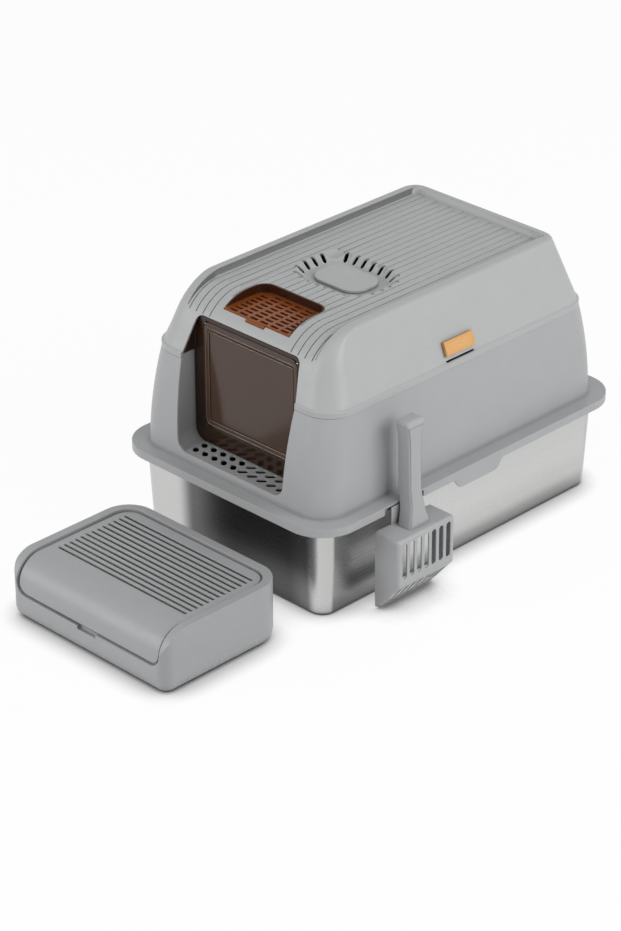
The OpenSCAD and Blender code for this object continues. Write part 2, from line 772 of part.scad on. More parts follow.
module dish_outside() {
    loft([[vent_z - bowl_t, dish_ring(vent_slope - 1)], [ceiling_z + 1, dish_ring(-bowl_t + 1)]]);
    intersection() {
        dent_ball(bowl_t);
        block([-vent_w, vent_y - vent_l, vent_z], [vent_w, vent_y + vent_l, ceiling_z + 1]);
    }
}

module dish_inside() {
    rise = vent_slope / vent_d;
    loft([[vent_z, dish_ring(vent_slope)], [panel_z + 1, dish_ring(-rise)]]);
}

module vent_cutters() {
    for (i = [0 : vent_slots - 1]) if (i != dent_place) {
        q = vent_place(i);
        translate([q[0], vent_y + q[1], vent_z]) rotate([0, 0, q[2]])
            translate([(slot_over + 1) / 2, 0, 0])
                slot(vent_slope + slot_over - 1, vent_slot_w, 3 * vent_d);
    }
    // the finger dent takes the place of one slot, at the back left corner
    dent_ball(0);
}

// Places children on the right or left wall of the hood, X out of the wall and Z up along it.
module on_wall(side) {
    mirror([side < 0 ? 1 : 0, 0, 0])
        translate([band_a - latch_up * sin(side_lean), latch_y, top_z + latch_up * cos(side_lean)])
            rotate([0, -side_lean, 0]) children();
}

module latch_bosses() {
    for (s = [-1, 1]) block([latch_axis_x - knob_r, s * boss_y - boss_w / 2, latch_axis_z - knob_r],
                            [-hood_t / 2, s * boss_y + boss_w / 2, latch_axis_z + knob_r]);
}

module latch_cutters() {
    bar_y(-pin_half - 2, pin_half + 2, latch_axis_x, latch_axis_z, latch_pin_r + hold);
    for (s = [-1, 1]) block([-hood_t - 1.5, s * arm_y - arm_w / 2 - 0.6, arm_low - 0.6],
                            [1, s * arm_y + arm_w / 2 + 0.6, arm_low + arm_h + arm_room]);
    low = -latch_h / 2 - latch_slot_drop;
    block([-hood_t - 2, -latch_l / 2 + 1, low - latch_slot_h], [2, latch_l / 2 - 1, low]);
}

module hood() {
    color("gainsboro") difference() {
        union() {
            difference() {
                hood_outside();
                difference() {
                    hood_inside();
                    above_panel(hood_t);
                }
            }
            sky_collar();
            dish_outside();
            for (side = [-1, 1]) on_wall(side) latch_bosses();
        }
        panel_recess();
        grooves();
        along_y(-flange_b, door_y + frame_t, door_high_outline(0));
        sky_shape(0, collar_z + shelf_t, hood_z + 1);
        block([-tab_a - gap, sky_front - tab_reach - gap, tray_z - tray_t - gap - 4],
              [tab_a + gap, sky_front + 1, hood_z]);
        dish_inside();
        vent_cutters();
        plate(cup_a + gap, vent_y - cup_b - gap, vent_y + cup_b + gap, cup_r + gap, vent_z - 6, vent_z + 1);
        for (side = [-1, 1]) on_wall(side) latch_cutters();
    }
}

// Side cheek of the frame, between the door and the hood's front wall.
cheek_steps = [for (k = [0 : 8]) top_z + 1 + (frame_low_top - top_z - 1) * k / 8];
cheek_outline = concat(
    [[door_y + frame_t, frame_low_top], [door_y + frame_t, top_z + 1]],
    [for (z = cheek_steps) [min(front_y(z, hood_t + 2 * gap), door_y), z]]);
cheek_t = 2.2;

module door_frame() {
    color("saddlebrown") difference() {
        union() {
            intersection() {
                along_y(door_y, door_y + frame_t, passage(frame_a, frame_z, door_r - 2 * gap, door_top));
                union() {
                    block([-flange_a, -flange_b, 0], [flange_a, 0, frame_low_top]);
                    along_y(door_y - 1, door_y + frame_t + 1, door_high_outline(gap));
                }
            }
            for (s = [-1, 1]) {
                along_x(s * (frame_a - cheek_t / 2) - cheek_t / 2,
                        s * (frame_a - cheek_t / 2) + cheek_t / 2, cheek_outline);
                block([s * (hole_a + 3.2) - 3, door_y + 1, rod_z - 4],
                      [s * (hole_a + 3.2) + 3, rod_y + 3, rod_z + 4]);
            }
        }
        along_y(door_y - 1, door_y + frame_t + 4, concat(
            arc_pts(hole_a - hole_r, hole_top - hole_r, hole_r, 0, 90, 4),
            arc_pts(-hole_a + hole_r, hole_top - hole_r, hole_r, 90, 180, 4),
            arc_pts(-hole_a + hole_r, hole_z + hole_r, hole_r, 180, 270, 4),
            arc_pts(hole_a - hole_r, hole_z + hole_r, hole_r, 270, 360, 4)));
        bar_x(-rod_end, rod_end, rod_y, rod_z, rod_r + hold);
    }
}

module flap_rod() {
    color("dimgray") bar_x(-rod_end + gap, rod_end - gap, rod_y, rod_z, rod_r);
}

// Round-cornered outline of the flap in the XZ plane, moved in by t.
function flap_outline(t) = let (r = 10 - t) concat(
    arc_pts(flap_a - t - r, flap_top - t - r, r, 0, 90),
    arc_pts(-flap_a + t + r, flap_top - t - r, r, 90, 180),
    arc_pts(-flap_a + t + r, flap_low + t + r, r, 180, 270),
    arc_pts(flap_a - t - r, flap_low + t + r, r, 270, 360));

module door_flap() {
    color("dimgray") difference() {
        union() {
            along_y(rod_y - flap_t / 2, rod_y + flap_t / 2, flap_outline(0));
            difference() {
                along_y(rod_y - flap_t, rod_y + flap_t, flap_outline(0));
                along_y(rod_y - flap_t - 1, rod_y + flap_t + 1, flap_outline(flap_edge));
            }
            bar_x(-flap_a + 4, flap_a - 4, rod_y, rod_z, knuckle_r);
        }
        bar_x(-flap_a - 1, flap_a + 1, rod_y, rod_z, rod_r + run);
    }
}

// Slots of the tray's floor, skipping those that would meet its round corners.
module tray_slots() {
    rows = floor((sky_l - 12) / tray_pitch_y) + 1;
    across = floor((sky_w - 4) / tray_pitch_x);
    for (i = [0 : rows - 1]) for (j = [0 : across - 1]) {
        x = (j - (across - 1) / 2) * tray_pitch_x;
        y = sky_front + 6 + i * tray_pitch_y;
        corner = abs(x) + tray_slot_l / 2 > sky_a - sky_r && y > sky_back - 0.7 * sky_r;
        if (!corner) translate([x, y, tray_z]) slot(tray_slot_l, tray_slot_w, 4 * tray_t);
    }
}

module skylight_tray() {
    color("chocolate") difference() {
        union() {
            difference() {
                intersection() {
                    sky_shape(gap, tray_z - tray_t, panel_z);
                    union() {
                        bar_x(-flange_a, flange_a, panel_y, roll_z, panel_r);
                        block([-flange_a, panel_y, roll_z], [flange_a, flange_b, panel_z]);
                    }
                }
                sky_shape(gap + tray_t, tray_z, panel_z + 1);
                block([-sky_a + gap + tray_t, sky_front - 1, tray_z],
                      [sky_a - gap - tray_t, sky_front + 5, panel_z + 1]);
            }
            intersection() {
                difference() {
                    bar_x(-tab_a, tab_a, roll_y, roll_z, roll_r);
                    bar_x(-tab_a - 1, tab_a + 1, roll_y, roll_z, roll_r - tray_t);
                }
                block([-tab_a, sky_front - tab_reach, roll_z], [tab_a, sky_front + gap + 1, tray_z]);
            }
        }
        tray_slots();
    }
}

module vent_cap() {
    color("lightgray") difference() {
        plate(cap_a, vent_y - cap_b, vent_y + cap_b, cap_r, vent_z + gap, vent_z + gap + cap_h);
        plate(cap_a - 2, vent_y - cap_b + 2, vent_y + cap_b - 2, cap_r - 2,
              vent_z, vent_z + gap + cap_h - cap_skin);
    }
}

module filter_cup() {
    color("gray") difference() {
        union() {
            plate(cup_a, vent_y - cup_b, vent_y + cup_b, cup_r, cup_floor, vent_z + gap + cap_h - cap_skin);
            plate(cup_a + cup_flange, vent_y - cup_b - cup_flange, vent_y + cup_b + cup_flange,
                  cup_r + cup_flange, vent_z + gap, vent_z + gap + cap_h - cap_skin);
        }
        plate(cup_a - cup_t, vent_y - cup_b + cup_t, vent_y + cup_b - cup_t, cup_r - cup_t,
              cup_floor + cup_t, vent_z + 3);
        for (i = [-2 : 2]) translate([i * cup_a / 3.4, vent_y, cup_floor]) rotate([0, 0, 90])
            slot(1.3 * cup_b, 5, 4 * cup_t);
    }
}

module carbon_filter() {
    color("black")
        plate(cup_a - cup_t - gap, vent_y - cup_b + cup_t + gap, vent_y + cup_b - cup_t - gap,
              cup_r - cup_t - gap, cup_floor + cup_t, vent_z - 1);
}

module latch() {
    difference() {
        union() {
            block([gap, -latch_l / 2, -latch_h / 2], [latch_t + gap, latch_l / 2, latch_h / 2]);
            for (s = [-1, 1]) {
                block([latch_axis_x - 2, s * arm_y - arm_w / 2, arm_low],
                      [gap + 1, s * arm_y + arm_w / 2, arm_low + arm_h]);
                block([latch_axis_x - 2, s * arm_y - arm_w / 2, arm_low],
                      [latch_axis_x + 1, s * arm_y + arm_w / 2, latch_axis_z]);
                bar_y(s * arm_y - arm_w / 2, s * arm_y + arm_w / 2, latch_axis_x, latch_axis_z, knob_r);
            }
        }
        bar_y(-latch_l, latch_l, latch_axis_x, latch_axis_z, latch_pin_r + run);
    }
}

module latch_pin() {
    bar_y(-pin_half, pin_half, latch_axis_x, latch_axis_z, latch_pin_r);
}

module latch_left() {
    color("sandybrown") on_wall(-1) latch();
}

module latch_right() {
    color("sandybrown") on_wall(1) latch();
}

module latch_pin_left() {
    color("silver") on_wall(-1) latch_pin();
}

module latch_pin_right() {
    color("silver") on_wall(1) latch_pin();
}

// Side outline of the basket in the XZ plane, moved in by t.
function scoop_outline(t) = [
    [scoop_in - (t > 0 ? 1 : 0), scoop_top - t], [scoop_out - t, scoop_top - t],
    [scoop_out - t, scoop_top - scoop_h + 0.35 * t], [toe_x - 0.65 * t, toe_z + (t > 0 ? -1 : 0)],
    [toe_x - 6, toe_z + (t > 0 ? -1 : 0)],
    [scoop_in - (t > 0 ? 1 : 0), toe_z + 18]];

module scoop_slots_cut() {
    pitch = (scoop_w - 10) / scoop_slots;
    slope = atan2(scoop_top - scoop_h - toe_z, scoop_out - toe_x);
    for (i = [0 : scoop_slots - 1]) {
        y = scoop_y + (i - (scoop_slots - 1) / 2) * pitch;
        translate([scoop_out, y, scoop_top - 7 - (scoop_h - 18) / 2]) rotate([0, 90, 0])
            slot(scoop_h - 18, scoop_slot_w, 4 * scoop_t);
        translate([(scoop_out + toe_x) / 2, y, (scoop_top - scoop_h + toe_z) / 2 + 1])
            rotate([0, 90 + 90 - slope, 0]) slot(34, scoop_slot_w, 4 * scoop_t);
    }
}

// Hook of the scoop: it rises through the notch and reaches over the flange's edge.
module scoop_hook() {
    y0 = hook_y - hook_w / 2;
    y1 = hook_y + hook_w / 2;
    block([neck_x, scoop_y - hook_root, scoop_top - 1],
          [neck_x + hook_t, y1, flange_z - flange_t - 1]);
    block([neck_x, y0, scoop_top - 1], [neck_x + hook_t, y1, hook_z + hook_t]);
    block([hook_x - tip_w, y0, hook_z], [neck_x + hook_t, y1, hook_z + hook_t]);
    block([hook_x - tip_w, y0, hook_z - tip_drop], [hook_x, y1, hook_z + hook_t]);
}

module scoop_basket() {
    color("darkgray") difference() {
        union() {
            difference() {
                along_y(scoop_y - scoop_b, scoop_y + scoop_b, scoop_outline(0));
                along_y(scoop_y - scoop_b + scoop_t, scoop_y + scoop_b - scoop_t, scoop_outline(scoop_t));
            }
            scoop_hook();
        }
        scoop_slots_cut();
    }
}

// Half width of the handle at a share s of its height: flared at the foot and the head.
function grip_half(s) = s < 0.35 ? grip_w / 2 + (grip_foot - grip_w) / 2 * pow(1 - s / 0.35, 2.4)
    : s < 0.72 ? grip_w / 2 : grip_w / 2 + (grip_head - grip_w) / 2 * pow((s - 0.72) / 0.28, 2);
grip_steps = [0, 0.03, 0.07, 0.12, 0.17, 0.22, 0.28, 0.35, 0.72, 0.8, 0.88, 0.94, 0.97, 1];
function grip_shift(s) = -grip_lean * min(s / 0.4, 1);

// Ring of the handle: x shifts with the lean, y follows the flare; edge moves the outline in.
function grip_ring(s, edge) =
    let (x0 = grip_in + grip_shift(s) + edge, x1 = grip_in + grip_t + grip_shift(s) - edge,
         h = grip_half(s) - edge, r = 3, c = (x0 + x1) / 2)
    [for (q = ring((x1 - x0) / 2, -h, h, r)) [c + q[0], scoop_y + q[1]]];

module handle_body() {
    loft(concat([for (s = grip_steps) [scoop_top + s * (grip_h - 5), grip_ring(s, 0)]],
                [[grip_z - 1.6, grip_ring(1, 1.2)], [grip_z, grip_ring(1, 4)]]));
}

// Space of the inlay on the handle's outer side, moved in by t and thick d.
module inlay_space(t, d) {
    intersection() {
        loft([for (s = grip_steps)
            let (h = grip_half(s) - inlay_edge - t, x = grip_in + grip_t + grip_shift(s))
            [scoop_top + s * (grip_h - 5),
             [[x - d, scoop_y - h], [x + 2, scoop_y - h], [x + 2, scoop_y + h], [x - d, scoop_y + h]]]]);
        block([grip_in - 20, scoop_y - grip_foot, scoop_top + 2 + t],
              [scoop_out + 20, scoop_y + grip_foot, grip_z - 10 - t]);
    }
}

module scoop_handle() {
    color("darkgray") difference() {
        handle_body();
        inlay_space(0, inlay_t);
    }
}

module scoop_grip() {
    color("gray") intersection() {
        handle_body();
        inlay_space(gap, inlay_t);
    }
}

// Side outline of the step in the YZ plane, its top and front moved in by t.
function step_profile(t, low, back) = concat(
    [[back, low], [back, step_h - t]],
    arc_pts(step_front + step_roll, step_h - step_roll, step_roll - t, 90, 180, 12),
    [[step_front + t, low]]);

// Plan of the step moved in by t, with larger corners at the back.
function step_ring(t) = ring(step_a - t, step_front + t, step_back - t,
                             max(step_r_back - t, 2), max(step_r_front - t, 2));

module step_solid(t) {
    r = step_foot_r - t;
    foot = [for (k = [0 : 4]) let (c = 22.5 * k) [t + r * (1 - cos(c)), step_ring(t + r * (1 - sin(c)))]];
    intersection() {
        loft(concat(foot, [[step_h + 1, step_ring(t)]]));
        along_x(-step_a, step_a, step_profile(t, 0, step_back));
    }
}

// Space of the cover, with its edge moved in by t from the step's outside.
module cover_zone(t) {
    intersection() {
        union() {
            loft([[0, step_ring(t)], [step_h + 1, step_ring(t)]]);
            block([-step_a + t, step_front - 1, 0], [step_a - t, step_front + step_l / 2, step_h + 1]);
        }
        along_y(step_front - 1, step_back,
                passage(step_a - t, cover_z + t - cover_in, cover_r + cover_in - t, step_h + 2));
    }
}

module step_tray() {
    color("darkgray") translate([step_x, 0, 0]) difference() {
        union() {
            difference() {
                step_solid(0);
                step_solid(step_t);
            }
            // thick edge that the cover's seat is cut into
            intersection() {
                difference() {
                    step_solid(eps);
                    along_x(-step_a, step_a, step_profile(seat_d + ledge_t, -1, step_back + 1));
                }
                block([-step_a, step_front, cover_z - step_groove - ledge_w], [step_a, step_back, step_h]);
            }
        }
        cover_zone(cover_in + ledge_w);
        difference() {
            cover_zone(step_rim);
            along_x(-step_a, step_a, step_profile(seat_d, -1, step_back + 1));
        }
        block([-notch_a, step_front - 1, cover_z - step_groove - notch_h],
              [notch_a, step_front + notch_d, cover_z]);
    }
}

module cover_slots() {
    count = floor((slot_back - slot_front) / cover_pitch);
    for (i = [0 : count])
        translate([0, slot_front + i * cover_pitch, step_h - step_drop])
            slot(2 * slot_half, cover_slot_w, 4 * cover_t);
}

module step_cover() {
    color("silver") translate([step_x, 0, 0]) difference() {
        intersection() {
            along_x(-step_a, step_a, step_profile(step_drop, 0, step_back));
            cover_zone(cover_in);
        }
        along_x(-step_a - 1, step_a + 1, step_profile(step_drop + cover_t, -1, step_back + 1));
        cover_slots();
    }
}

steel_pan();
lower_guard();
hood();
door_frame();
flap_rod();
door_flap();
skylight_tray();
vent_cap();
filter_cup();
carbon_filter();
latch_left();
latch_right();
latch_pin_left();
latch_pin_right();
scoop_basket();
scoop_handle();
scoop_grip();
step_tray();
step_cover();
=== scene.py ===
import math

import bmesh
import bpy
import numpy as np
from mathutils import Matrix, Vector


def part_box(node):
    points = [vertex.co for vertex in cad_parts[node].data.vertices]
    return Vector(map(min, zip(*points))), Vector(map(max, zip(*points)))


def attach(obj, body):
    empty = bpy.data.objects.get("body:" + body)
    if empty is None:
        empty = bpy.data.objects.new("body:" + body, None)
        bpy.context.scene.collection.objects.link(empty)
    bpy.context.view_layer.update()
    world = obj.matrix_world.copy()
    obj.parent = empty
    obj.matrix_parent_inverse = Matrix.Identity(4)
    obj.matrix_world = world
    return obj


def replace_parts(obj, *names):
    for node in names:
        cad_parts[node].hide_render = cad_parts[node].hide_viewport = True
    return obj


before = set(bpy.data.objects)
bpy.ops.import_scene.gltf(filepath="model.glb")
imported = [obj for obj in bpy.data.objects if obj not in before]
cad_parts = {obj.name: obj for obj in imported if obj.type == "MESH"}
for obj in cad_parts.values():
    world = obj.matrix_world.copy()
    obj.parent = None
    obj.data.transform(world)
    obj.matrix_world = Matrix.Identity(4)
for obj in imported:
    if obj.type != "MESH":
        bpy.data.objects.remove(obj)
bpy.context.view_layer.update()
print("litter box: solids loaded")


def emptyTree(holder, kind):
    # the node tree of a material or a world, cleared, and a new output node in it
    holder.use_nodes = True
    tree = holder.node_tree
    tree.nodes.clear()
    return tree, tree.nodes.new("ShaderNodeOutput" + kind)


def newMaterial(name):
    mat = bpy.data.materials.new(name)
    tree, out = emptyTree(mat, "Material")
    shader = tree.nodes.new("ShaderNodeBsdfPrincipled")
    tree.links.new(shader.outputs[0], out.inputs[0])
    return mat, tree, shader


def addNode(tree, kind, **values):
    # makes one node; values that name an input socket are set on it, the rest are properties
    node = tree.nodes.new("ShaderNode" + kind)
    for key, value in values.items():
        if key in node.inputs:
            node.inputs[key].default_value = value
        else:
            setattr(node, key, value)
    return node


def calculate(tree, operation, *values):
    # one sum; each value is a number or another node's output
    node = addNode(tree, "Math", operation=operation)
    for socket, value in zip(node.inputs, values):
        if isinstance(value, float):
            socket.default_value = value
        else:
            tree.links.new(value, socket)
    return node.outputs[0]


def objectCoords(tree, scale=(1, 1, 1)):
    coord = addNode(tree, "TexCoord")
    mapping = addNode(tree, "Mapping")
    mapping.inputs["Scale"].default_value = scale
    tree.links.new(coord.outputs["Object"], mapping.inputs["Vector"])
    return mapping.outputs["Vector"]


def axes(tree, coords):
    # outputs X, Y and Z of the coordinates
    node = addNode(tree, "SeparateXYZ")
    tree.links.new(coords, node.inputs[0])
    return node.outputs


def noise(tree, vector, scale, detail=2.0, roughness=0.5):
    node = addNode(tree, "TexNoise", Scale=scale, Detail=detail, Roughness=roughness)
    tree.links.new(vector, node.inputs["Vector"])
    return node.outputs["Fac"]


def ramp(tree, factor, low, high, toLow, toHigh):
    # factor from low..high is stretched to toLow..toHigh
    node = addNode(tree, "MapRange")
    for key, value in zip(("From Min", "From Max", "To Min", "To Max"), (low, high, toLow, toHigh)):
        node.inputs[key].default_value = value
    tree.links.new(factor, node.inputs["Value"])
    return node.outputs["Result"]


def uneven(tree, factor, low, high):
    # a noise's middle range is stretched to low..high
    return ramp(tree, factor, 0.3, 0.7, low, high)


def bump(tree, height, strength, distance, normal=None):
    node = addNode(tree, "Bump", Strength=strength, Distance=distance)
    tree.links.new(height, node.inputs["Height"])
    if normal is not None:
        tree.links.new(normal, node.inputs["Normal"])
    return node.outputs["Normal"]


def tint(tree, colour, dark, light, factor):
    # the colour, taken down to dark times itself and up to light times itself by factor
    node = addNode(tree, "Mix", data_type="RGBA")
    node.inputs[6].default_value = (*[c * dark for c in colour], 1)
    node.inputs[7].default_value = (*[min(c * light, 1) for c in colour], 1)
    tree.links.new(factor, node.inputs[0])
    return node.outputs[2]


def darkened(tree, colour, factor):
    # the colour times the factor
    node = addNode(tree, "Mix", data_type="RGBA", blend_type="MULTIPLY")
    node.inputs[0].default_value = 1.0
    tree.links.new(colour, node.inputs[6])
    tree.links.new(factor, node.inputs[7])
    return node.outputs[2]


def paintedOcclusionShade(tree, colour, reach, deepest):
    # painted shade: the colour goes down to deepest times itself in grooves and corners narrower than
    # reach, where an ambient occlusion node finds other surfaces near
    shade = addNode(tree, "AmbientOcclusion", samples=8)
    shade.inputs["Distance"].default_value = reach
    return darkened(tree, colour, ramp(tree, shade.outputs["AO"], 0.15, 0.85, deepest, 1.0))


plasticLook = {
    "guardGrey": (0.37, 0.376, 0.382),
    "hoodGrey": (0.405, 0.41, 0.413),
    "scoopGrey": (0.385, 0.39, 0.396),
    "gripShare": 0.95,               # the grip's grey, as a share of the scoop's
    "stepGrey": (0.34, 0.345, 0.35),
    "latchOrange": (0.66, 0.36, 0.125),
    "roughness": 0.4,
    "glossPatch": 0.012,             # size of the patches of uneven gloss
    "glossSpread": (-0.04, 0.05),    # how far the roughness strays in them
    "specular": 0.42,
    "cloud": 0.03,                   # how far the faint clouding takes the colour
    "flow": 0.035,                   # and its size
    "grainSize": 0.0007,
    "grainRelief": (0.5, 0.00003),   # strength and depth
    "waveSize": 0.05,
    "waveRelief": (0.25, 0.0006),
    "grooveReach": 0.011,            # how far the painted shade of grooves and corners reaches
    "grooveShade": 0.5,
    "sunkWall": (0.1198, 0.0008),    # side wall of the sunk top, and half the width of the painted shade on it
    "sunkFrom": 0.353,               # the wall's lower end
    "sunkTo": 0.2132,                # and its back end
    # how light the painted shade leaves those walls
    "sunkShade": 0.4,
}


def sunkWallShadeMask(tree, coords):
    # mask of the painted shade: 1 on the walls beside the hood's sunk top, 0 elsewhere
    place, halfWidth = plasticLook["sunkWall"]
    xyz = axes(tree, coords)
    across = calculate(tree, "ABSOLUTE", xyz["X"])
    onWall = calculate(tree, "COMPARE", across, place, halfWidth)
    above = calculate(tree, "GREATER_THAN", xyz["Z"], plasticLook["sunkFrom"])
    ahead = calculate(tree, "LESS_THAN", xyz["Y"], plasticLook["sunkTo"])
    return calculate(tree, "MULTIPLY", calculate(tree, "MULTIPLY", onWall, above), ahead)


def mouldedPlastic(name, colour, roughness=plasticLook["roughness"], grain=1.0,
                   grooveShade=plasticLook["grooveShade"], sunk=False):
    # satin moulded plastic: fine spark-eroded grain, faint clouding, a slightly uneven gloss and
    # painted shade in grooves and corners;
    # with sunk set, shade is painted on the walls beside the hood's sunk top
    mat, tree, shader = newMaterial(name)
    look = plasticLook
    coords = objectCoords(tree)
    cloudy = noise(tree, coords, 1 / look["flow"], 3)
    shade = tint(tree, colour, 1 - look["cloud"], 1 + look["cloud"], cloudy)
    if sunk:
        beside = sunkWallShadeMask(tree, coords)
        # painted shade on the walls beside the sunk top
        shade = darkened(tree, shade, ramp(tree, beside, 0.0, 1.0, 1.0, look["sunkShade"]))
    # painted shade in grooves and corners
    shade = paintedOcclusionShade(tree, shade, look["grooveReach"], grooveShade)
    tree.links.new(shade, shader.inputs["Base Color"])
    patches = noise(tree, coords, 1 / look["glossPatch"], 2)
    down, up = look["glossSpread"]
    tree.links.new(uneven(tree, patches, roughness + down, roughness + up), shader.inputs["Roughness"])
    fine = noise(tree, coords, 1 / look["grainSize"], 2, 0.6)
    waves = noise(tree, coords, 1 / look["waveSize"], 1)
    strength, depth = look["grainRelief"]
    relief = bump(tree, fine, strength * grain, depth, bump(tree, waves, *look["waveRelief"]))
    tree.links.new(relief, shader.inputs["Normal"])
    shader.inputs["Specular IOR Level"].default_value = look["specular"]
    return mat


steelLook = {
    "light": (0.66, 0.66, 0.655),
    "roughness": (0.26, 0.29),
    "anisotropic": 0.35,
    "brushPitch": 0.0004,
    "brushLength": 0.12,
    "brushRelief": (0.05, 0.00001),
    # reach and depth of the painted shade in the corners
    "cornerReach": 0.014,
    "cornerShade": 0.5,
    "halfWidth": 0.175,
    "endFrom": (0.25, 0.254),        # between these the side walls give way to the end walls
    # share of the way across an end wall, and how light the painted reflection makes the steel there
    "endReflectionBands": ((0.0, 0.85), (0.2, 0.88), (0.29, 0.22), (0.5, 0.09), (0.8, 0.16), (0.9, 0.3),
                 (0.945, 0.88), (1.0, 0.8)),
    # height up a side wall, in metres, and how light the painted reflection makes the steel there
    "sideReflectionBands": ((0.0, 0.42), (0.012, 0.6), (0.035, 0.85), (0.07, 0.92), (0.1, 0.9), (0.128, 0.85)),
    "shadedSide": (-0.235, -0.115, 0.56),    # painted reflection: a side wall is darker near the front: from, to, how light
}


def bands(tree, factor, stops, colour):
    # smooth run of shades of one colour along factor, here the painted reflection on the steel
    node = tree.nodes.new("ShaderNodeValToRGB")
    node.color_ramp.interpolation = "EASE"
    while len(node.color_ramp.elements) < len(stops):
        node.color_ramp.elements.new(0.5)
    for element, (place, light) in zip(node.color_ramp.elements, stops):
        element.position = place
        element.color = (*[c * light for c in colour], 1)
    tree.links.new(factor, node.inputs[0])
    return node.outputs[0]


def brushedSteel(name):
    # steel brushed level along the walls: long streaks in the gloss and in the relief; a painted
    # reflection turns the end walls dark in their middle and light beside the corners, and the side
    # walls dark at the foot and near the front; painted shade in the corners
    mat, tree, shader = newMaterial(name)
    look = steelLook
    length = 1 / look["brushLength"]
    streaks = noise(tree, objectCoords(tree, (length, length, 1 / look["brushPitch"])), 1.0, 3, 0.6)
    xyz = axes(tree, objectCoords(tree))
    across = ramp(tree, xyz["X"], -look["halfWidth"], look["halfWidth"], 0.0, 1.0)
    isEnd = ramp(tree, calculate(tree, "ABSOLUTE", xyz["Y"]), *look["endFrom"], 0.0, 1.0)
    height = ramp(tree, xyz["Z"], 0.0, 1.0, 0.0, 1.0)
    start, stop, darkest = look["shadedSide"]
    paintedReflection = addNode(tree, "Mix", data_type="RGBA")
    tree.links.new(isEnd, paintedReflection.inputs[0])
    tree.links.new(darkened(tree, bands(tree, height, look["sideReflectionBands"], look["light"]),
                            ramp(tree, xyz["Y"], start, stop, darkest, 1.0)), paintedReflection.inputs[6])
    tree.links.new(bands(tree, across, look["endReflectionBands"], look["light"]), paintedReflection.inputs[7])
    # painted shade in the corners
    shade = paintedOcclusionShade(tree, paintedReflection.outputs[2], look["cornerReach"], look["cornerShade"])
    tree.links.new(shade, shader.inputs["Base Color"])
    shader.inputs["Metallic"].default_value = 1.0
    shader.inputs["Anisotropic"].default_value = look["anisotropic"]
    tree.links.new(uneven(tree, streaks, *look["roughness"]), shader.inputs["Roughness"])
    tree.links.new(bump(tree, streaks, *look["brushRelief"]), shader.inputs["Normal"])
    return mat


wireLook = {
    "colour": (0.6, 0.6, 0.6, 1),
    "ringPitch": 0.0025,
    "ringRelief": (0.1, 0.00002),
    "roughness": (0.22, 0.34),
}


def drawnWire(name):
    # plain bright wire with fine rings left by the drawing
    mat, tree, shader = newMaterial(name)
    shader.inputs["Base Color"].default_value = wireLook["colour"]
    shader.inputs["Metallic"].default_value = 1.0
    fine = noise(tree, objectCoords(tree, (1 / wireLook["ringPitch"],) * 3), 1.0, 2)
    tree.links.new(uneven(tree, fine, *wireLook["roughness"]), shader.inputs["Roughness"])
    tree.links.new(bump(tree, fine, *wireLook["ringRelief"]), shader.inputs["Normal"])
    return mat


clearLook = {
    # colour, roughness, share of the light let through, gloss
    "amber": ((0.27, 0.068, 0.011), 0.3, 0.2, 0.2),
    "amberDark": ((0.026, 0.011, 0.005), 0.12, 0.05, 0.4),
    "smoked": ((0.075, 0.042, 0.029), 0.12, 0.15, 0.33),
    # a lighter copy of the smoked plastic for the flap's beads: a painted highlight
    "smokedHighlight": ((0.2, 0.125, 0.09), 0.15, 0.2, 0.5),
    "cloud": 0.06,                   # how far the flow marks take the colour
    "flowScale": (9, 9, 3),
    "patchScale": 60,
    "waveScale": 18,
    "glossSpread": 0.06,
    "waveRelief": (0.12, 0.0005),
    # reach and depth of the painted shade in the corners
    "cornerReach": 0.006,
    "cornerShade": 0.45,
    "wallFrom": (0.3642, 0.3662),    # between these heights the tray's floor gives way to its walls
    # how light the painted shade leaves the tray's walls
    "wallShade": 0.16,
}


def tintedClear(name, walls=False):
    # clear tinted plastic, polished, with faint flow marks from the gate and painted shade in its
    # corners; with walls set, the tray's walls are painted darker than its floor, a painted shade for
    # the look through more plastic
    mat, tree, shader = newMaterial(name)
    look = clearLook
    colour, roughness, through, gloss = look[name]
    coords = objectCoords(tree)
    flow = noise(tree, objectCoords(tree, look["flowScale"]), 2.0, 3)
    shade = tint(tree, colour, 1 - look["cloud"], 1 + look["cloud"], flow)
    if walls:
        height = axes(tree, coords)["Z"]
        # painted shade on the tray's walls
        shade = darkened(tree, shade, ramp(tree, height, *look["wallFrom"], 1.0, look["wallShade"]))
    # painted shade in the corners
    shade = paintedOcclusionShade(tree, shade, look["cornerReach"], look["cornerShade"])
    tree.links.new(shade, shader.inputs["Base Color"])
    patches = noise(tree, coords, look["patchScale"], 2)
    tree.links.new(uneven(tree, patches, roughness, roughness + look["glossSpread"]),
                   shader.inputs["Roughness"])
    waves = noise(tree, coords, look["waveScale"], 1)
    tree.links.new(bump(tree, waves, *look["waveRelief"]), shader.inputs["Normal"])
    shader.inputs["Transmission Weight"].default_value = through
    shader.inputs["IOR"].default_value = 1.5
    shader.inputs["Specular IOR Level"].default_value = gloss
    return mat


foamLook = {
    "colour": (0.03, 0.03, 0.03),
    "cellPaintedShade": (0.3, 1.5),          # painted shade: the colour goes from and to these times itself from a cell's hollow out to its rim
    "cellSize": 0.0016,
    "cellRelief": (0.8, 0.0012),
    "roughness": 0.9,
}


def carbonFoam(name):
    # open black foam of round cells, with painted shade in each cell's hollow
    mat, tree, shader = newMaterial(name)
    cells = addNode(tree, "TexVoronoi", Scale=1 / foamLook["cellSize"])
    tree.links.new(objectCoords(tree), cells.inputs["Vector"])
    depth = cells.outputs["Distance"]
    tree.links.new(tint(tree, foamLook["colour"], *foamLook["cellPaintedShade"], depth),
                   shader.inputs["Base Color"])
    tree.links.new(bump(tree, depth, *foamLook["cellRelief"]), shader.inputs["Normal"])
    shader.inputs["Roughness"].default_value = foamLook["roughness"]
    return mat


